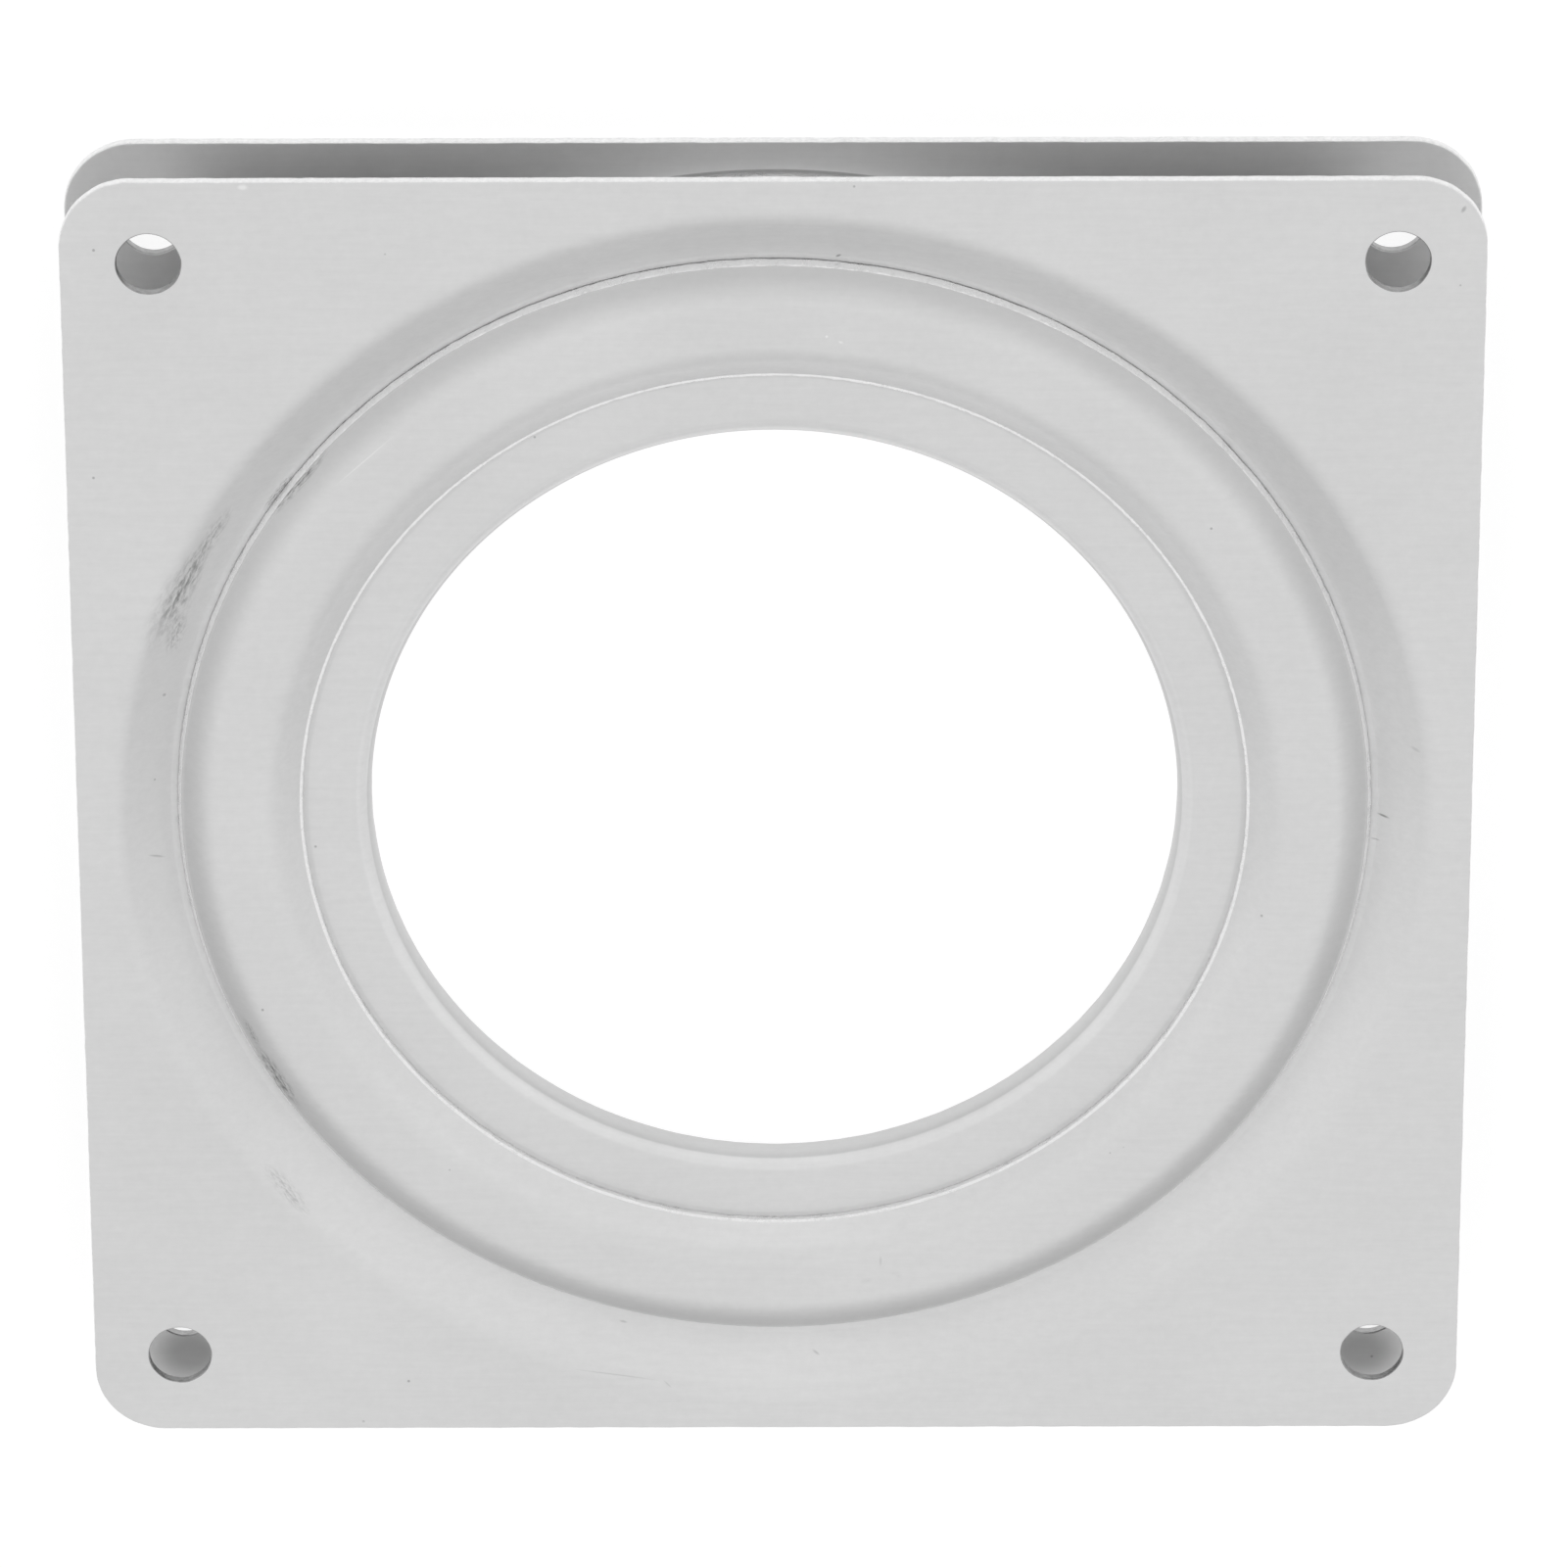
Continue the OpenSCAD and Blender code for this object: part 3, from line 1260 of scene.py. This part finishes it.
@dataclass(frozen=True)
class Studio:
    """Camera, floor and surroundings. Lengths are in millimetres and angles in degrees."""

    top: float
    lens: float = 259.4
    tilt: float = 26.51
    roll: float = 0.12
    distance: float = 821.8
    aim_x: float = 0.69
    aim_y: float = 3.06
    floor_radius: float = 1500.0
    floor_drop: float = 0.02
    room_light: float = 0.407
    floor_light: float = 0.84
    floor_shade: float = 0.25
    floor_level: float = 0.9
    glows: tuple[Glow, ...] = ()

    def build(self) -> None:
        """Makes everything that isn't part of the bearing."""
        self._camera()
        self._floor()
        self._world()
        bpy.context.scene.view_settings.view_transform = "Standard"

    def _camera(self) -> None:
        """Places the camera above the bearing, tilted as in the photograph."""
        data = bpy.data.cameras.new("camera")
        data.lens = self.lens
        data.sensor_width = 36.0
        data.clip_start = 0.01
        data.clip_end = 10.0
        tilt = math.radians(self.tilt)
        back = Vector((0.0, math.sin(tilt), math.cos(tilt))) * self.distance
        place = (Vector((self.aim_x, self.aim_y, self.top)) + back) * METRE
        camera = bpy.data.objects.new("camera", data)
        camera.matrix_world = (
            Matrix.Translation(place)
            @ Matrix.Rotation(-tilt, 4, "X")
            @ Matrix.Rotation(-math.radians(self.roll), 4, "Z")
        )
        bpy.context.scene.collection.objects.link(camera)
        bpy.context.scene.camera = camera

    def _floor(self) -> None:
        """Makes the pale floor, white to the eye and in reflections, with a soft shadow."""
        mesh = bmesh.new()
        bmesh.ops.create_circle(mesh, cap_ends=True, segments=128, radius=self.floor_radius * METRE)
        bmesh.ops.translate(mesh, verts=mesh.verts[:], vec=(0.0, 0.0, -self.floor_drop * METRE))
        material = bpy.data.materials.new("pale_floor")
        material.use_nodes = True
        graph = ShaderGraph(material.node_tree)
        matt = graph.add("ShaderNodeBsdfDiffuse", None, {"Color": self._grey(self.floor_level)})
        faint = graph.add("ShaderNodeBsdfDiffuse", None, {"Color": self._grey(self.floor_shade)})
        light = {"Color": WHITE, "Strength": self.floor_light}
        white = graph.add("ShaderNodeEmission", None, light)
        shown = {0: faint.outputs["BSDF"], 1: white.outputs["Emission"]}
        both = graph.add("ShaderNodeAddShader", None, shown)
        ways = {0: self._seen(graph), 1: matt.outputs["BSDF"], 2: both.outputs["Shader"]}
        mixed = graph.add("ShaderNodeMixShader", None, ways)
        graph.add("ShaderNodeOutputMaterial", None, {"Surface": mixed.outputs["Shader"]})
        floor = as_object("floor", mesh, [material])

    def _world(self) -> None:
        """Makes the surroundings: soft light on the bearing, plain white to the camera."""
        world = bpy.data.worlds.new("surroundings")
        world.use_nodes = True
        bpy.context.scene.world = world
        graph = ShaderGraph(world.node_tree)
        way = graph.add("ShaderNodeTexCoord").outputs["Generated"]
        light: Operand = self.room_light
        for glow in self.glows:
            light = glow.add_to(graph, way) + light
        lit = graph.add("ShaderNodeBackground", None, {"Color": WHITE, "Strength": light})
        white = graph.add("ShaderNodeBackground", None, {"Color": WHITE, "Strength": 1.0})
        camera = graph.add("ShaderNodeLightPath").outputs["Is Camera Ray"]
        ways = {0: camera, 1: lit.outputs["Background"], 2: white.outputs["Background"]}
        mixed = graph.add("ShaderNodeMixShader", None, ways)
        graph.add("ShaderNodeOutputWorld", None, {"Surface": mixed.outputs["Shader"]})

    @staticmethod
    def _grey(level: float) -> tuple[float, float, float, float]:
        """Opaque grey of a given level."""
        return (level, level, level, 1.0)

    @staticmethod
    def _seen(graph: ShaderGraph) -> Value:
        """Mask of the rays that see the background itself: camera, glossy and transmission rays.

        Args:
            graph: Graph to add the nodes to.

        Returns:
            1 for those rays and 0 for the rest.
        """
        path = graph.add("ShaderNodeLightPath")
        camera = graph.value(path, "Is Camera Ray")
        glossy = graph.value(path, "Is Glossy Ray")
        through = graph.value(path, "Is Transmission Ray")
        return camera | glossy | through


# Light of the room, and the painted shade, painted highlight and marks at their places on the
# bearing

ROOM_GLOWS = (
    Glow(azimuth=0.0, elevation=45.0, reach=60.0, strength=0.366),
    Glow(azimuth=180.0, elevation=45.0, reach=60.0, strength=0.356),
    Glow(azimuth=90.0, elevation=15.0, reach=60.0, strength=0.244),
    Glow(azimuth=90.0, elevation=22.0, reach=28.0, strength=0.35),
    Glow(azimuth=-90.0, elevation=10.0, reach=60.0, strength=0.23),
    Glow(azimuth=0.0, elevation=0.0, reach=50.0, strength=0.129),
    Glow(azimuth=180.0, elevation=0.0, reach=50.0, strength=0.228),
    Glow(azimuth=-90.0, elevation=63.0, reach=40.0, strength=0.226),
    Glow(azimuth=45.0, elevation=40.0, reach=50.0, strength=0.161),
    Glow(azimuth=135.0, elevation=40.0, reach=50.0, strength=0.099),
)
# Painted contact shadow on the back plate round the race ring's brim.
BACK_PAINTED_SHADOW = (PaintedLightBand(inner=48.45, outer=48.6, fade=0.08, depth=0.4),)
# Painted shade on the back plate where it is seen through the two lower screw holes.
BACK_PAINTED_SHADE = (
    MarkOrPaintedShade(-44.1, -48.3, 4.4, 3.6, 0.0, 0.5),
    MarkOrPaintedShade(44.1, -48.3, 4.4, 3.6, 0.0, 0.5),
)
# Painted light on the race ring and the retainer ring, as bands round the axis.
RING_PAINTED_LIGHT = (
    # painted shade on the rolled bore edge, in place of its darker reflection
    PaintedLightBand(inner=28.0, outer=29.75, fade=0.12, depth=0.2),
    # painted highlight just outside the bore roll
    PaintedLightBand(inner=30.1, outer=30.4, fade=0.3, depth=-0.06),
    # painted contact shadow beside the retainer ring's inner cut
    PaintedLightBand(inner=34.2, outer=34.5, fade=0.2, depth=0.05),
    # painted shade on the retainer ring's outer skirt, darkest near its cut edge
    PaintedLightBand(inner=42.9, outer=44.0, fade=2.0, depth=0.18),
)
PLATE_MARKS = (
    MarkOrPaintedShade(-42.5, 18.8, 5.2, 1.1, 66.0, 0.42, True),
    MarkOrPaintedShade(-43.3, 14.6, 2.2, 0.8, 72.0, 0.3, True),
    MarkOrPaintedShade(-43.4, 17.4, 5.0, 1.8, 66.0, 0.22, True),
    MarkOrPaintedShade(-40.5, 22.5, 3.4, 0.8, 60.0, 0.3, True),
    MarkOrPaintedShade(-37.6, 50.4, 0.5, 0.3, 0.0, -0.18),
    MarkOrPaintedShade(-35.7, 25.3, 2.3, 0.4, 54.0, 0.5, True),
    MarkOrPaintedShade(-31.3, 30.2, 1.6, 0.35, 46.0, 0.4, True),
    MarkOrPaintedShade(-36.2, -30.6, 3.2, 0.7, -52.0, 0.25, True),
    MarkOrPaintedShade(-12.1, -46.25, 3.9, 0.07, -9.5, 0.14),
    MarkOrPaintedShade(-8.1, -47.1, 0.5, 0.07, -43.0, 0.14),
    MarkOrPaintedShade(44.48, -0.82, 0.55, 0.13, -8.0, 0.5),
    MarkOrPaintedShade(43.95, -2.87, 0.45, 0.09, -4.0, 0.25),
    MarkOrPaintedShade(46.6, 5.45, 0.5, 0.2, -20.0, 0.14),
    MarkOrPaintedShade(-45.2, -3.6, 0.8, 0.12, -25.0, 0.22),
    MarkOrPaintedShade(-44.3, 9.5, 0.18, 0.18, 0.0, 0.3),
    MarkOrPaintedShade(-11.4, -43.0, 0.4, 0.1, -15.0, 0.2),
    MarkOrPaintedShade(3.0, -45.3, 0.4, 0.12, -30.0, 0.2),
    MarkOrPaintedShade(4.65, 43.85, 0.3, 0.14, 30.0, 0.5),
    MarkOrPaintedShade(49.0, 48.5, 0.4, 0.2, 60.0, 0.3),
)
RING_MARKS = (
    MarkOrPaintedShade(-36.8, -21.9, 3.6, 0.75, -59.5, 0.5, True),
    MarkOrPaintedShade(-38.6, -18.2, 1.6, 0.4, -64.0, 0.35, True),
    MarkOrPaintedShade(-34.3, 26.2, 4.2, 0.45, 51.0, 0.5, True),
    MarkOrPaintedShade(-29.4, 28.6, 3.4, 0.07, 43.0, -0.12),
    MarkOrPaintedShade(7.8, -37.0, 0.14, 0.55, 0.0, 0.12),
    MarkOrPaintedShade(6.7, -38.7, 0.6, 0.3, 20.0, 0.1, True),
    MarkOrPaintedShade(9.0, -38.2, 0.6, 0.3, -20.0, 0.1, True),
    MarkOrPaintedShade(3.8, 38.35, 0.14, 0.14, 0.0, -0.2),
    MarkOrPaintedShade(4.8, 37.9, 0.25, 0.14, -20.0, -0.15),
    MarkOrPaintedShade(-7.65, 33.4, 0.5, 0.12, 12.0, 0.3),
)


def main() -> None:
    """Builds the bearing and the studio."""
    logging.basicConfig(level=logging.INFO, format="%(name)s: %(message)s")
    plate_low, plate_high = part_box("front_plate")
    _, race_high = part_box("race_ring")
    _, cover_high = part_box("retainer_ring")
    balls = tuple(sorted(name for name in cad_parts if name.startswith("ball_")))
    track = BallTrack.of_node(balls[0])
    width = (plate_high.x - plate_low.x) / METRE
    top = plate_high.z / METRE
    sheared = ShearedEdge("sheared_edge").build()
    torn = ShearedEdge("torn_edge", level=1.0, roughness=0.3, relief=0.12).build()
    # The walls of the punched holes get a low level as painted shade.
    punched = ShearedEdge("punched_wall_painted_shade", level=0.42).build()
    plate_coats = Coats(GalvanisedSheet("plate_sheet", marks_and_painted_shade=PLATE_MARKS).build(), sheared, punched)
    # The back plate's sheet has a darker level than the front plate's: painted shade between the
    # plates.
    back_sheet = GalvanisedSheet("back_sheet", level=0.75, marks_and_painted_shade=BACK_PAINTED_SHADE, painted_bands=BACK_PAINTED_SHADOW)
    back_coats = Coats(back_sheet.build(), sheared, punched)
    ring_sheet = GalvanisedSheet("ring_sheet", marks_and_painted_shade=RING_MARKS, painted_bands=RING_PAINTED_LIGHT)
    ring_coats = Coats(ring_sheet.build(), torn, punched)
    blank = Blank()
    race = RaceRing(track, race_high.x / METRE, blank.thickness + RaceRing.thickness / 2)
    FrontPlate(track, width, top).build(plate_coats)
    BackPlate(width).build(back_coats)
    race.build(ring_coats)
    RetainerRing(track, race.seat, cover_high.z / METRE, cover_high.x / METRE).build(ring_coats)
    BallRow(balls).build(BallSteel().build())
    LOG.info("%d balls on a circle of radius %.2f mm", len(balls), track.radius)
    Studio(top, glows=ROOM_GLOWS).build()


if __name__ == "__main__":
    main()
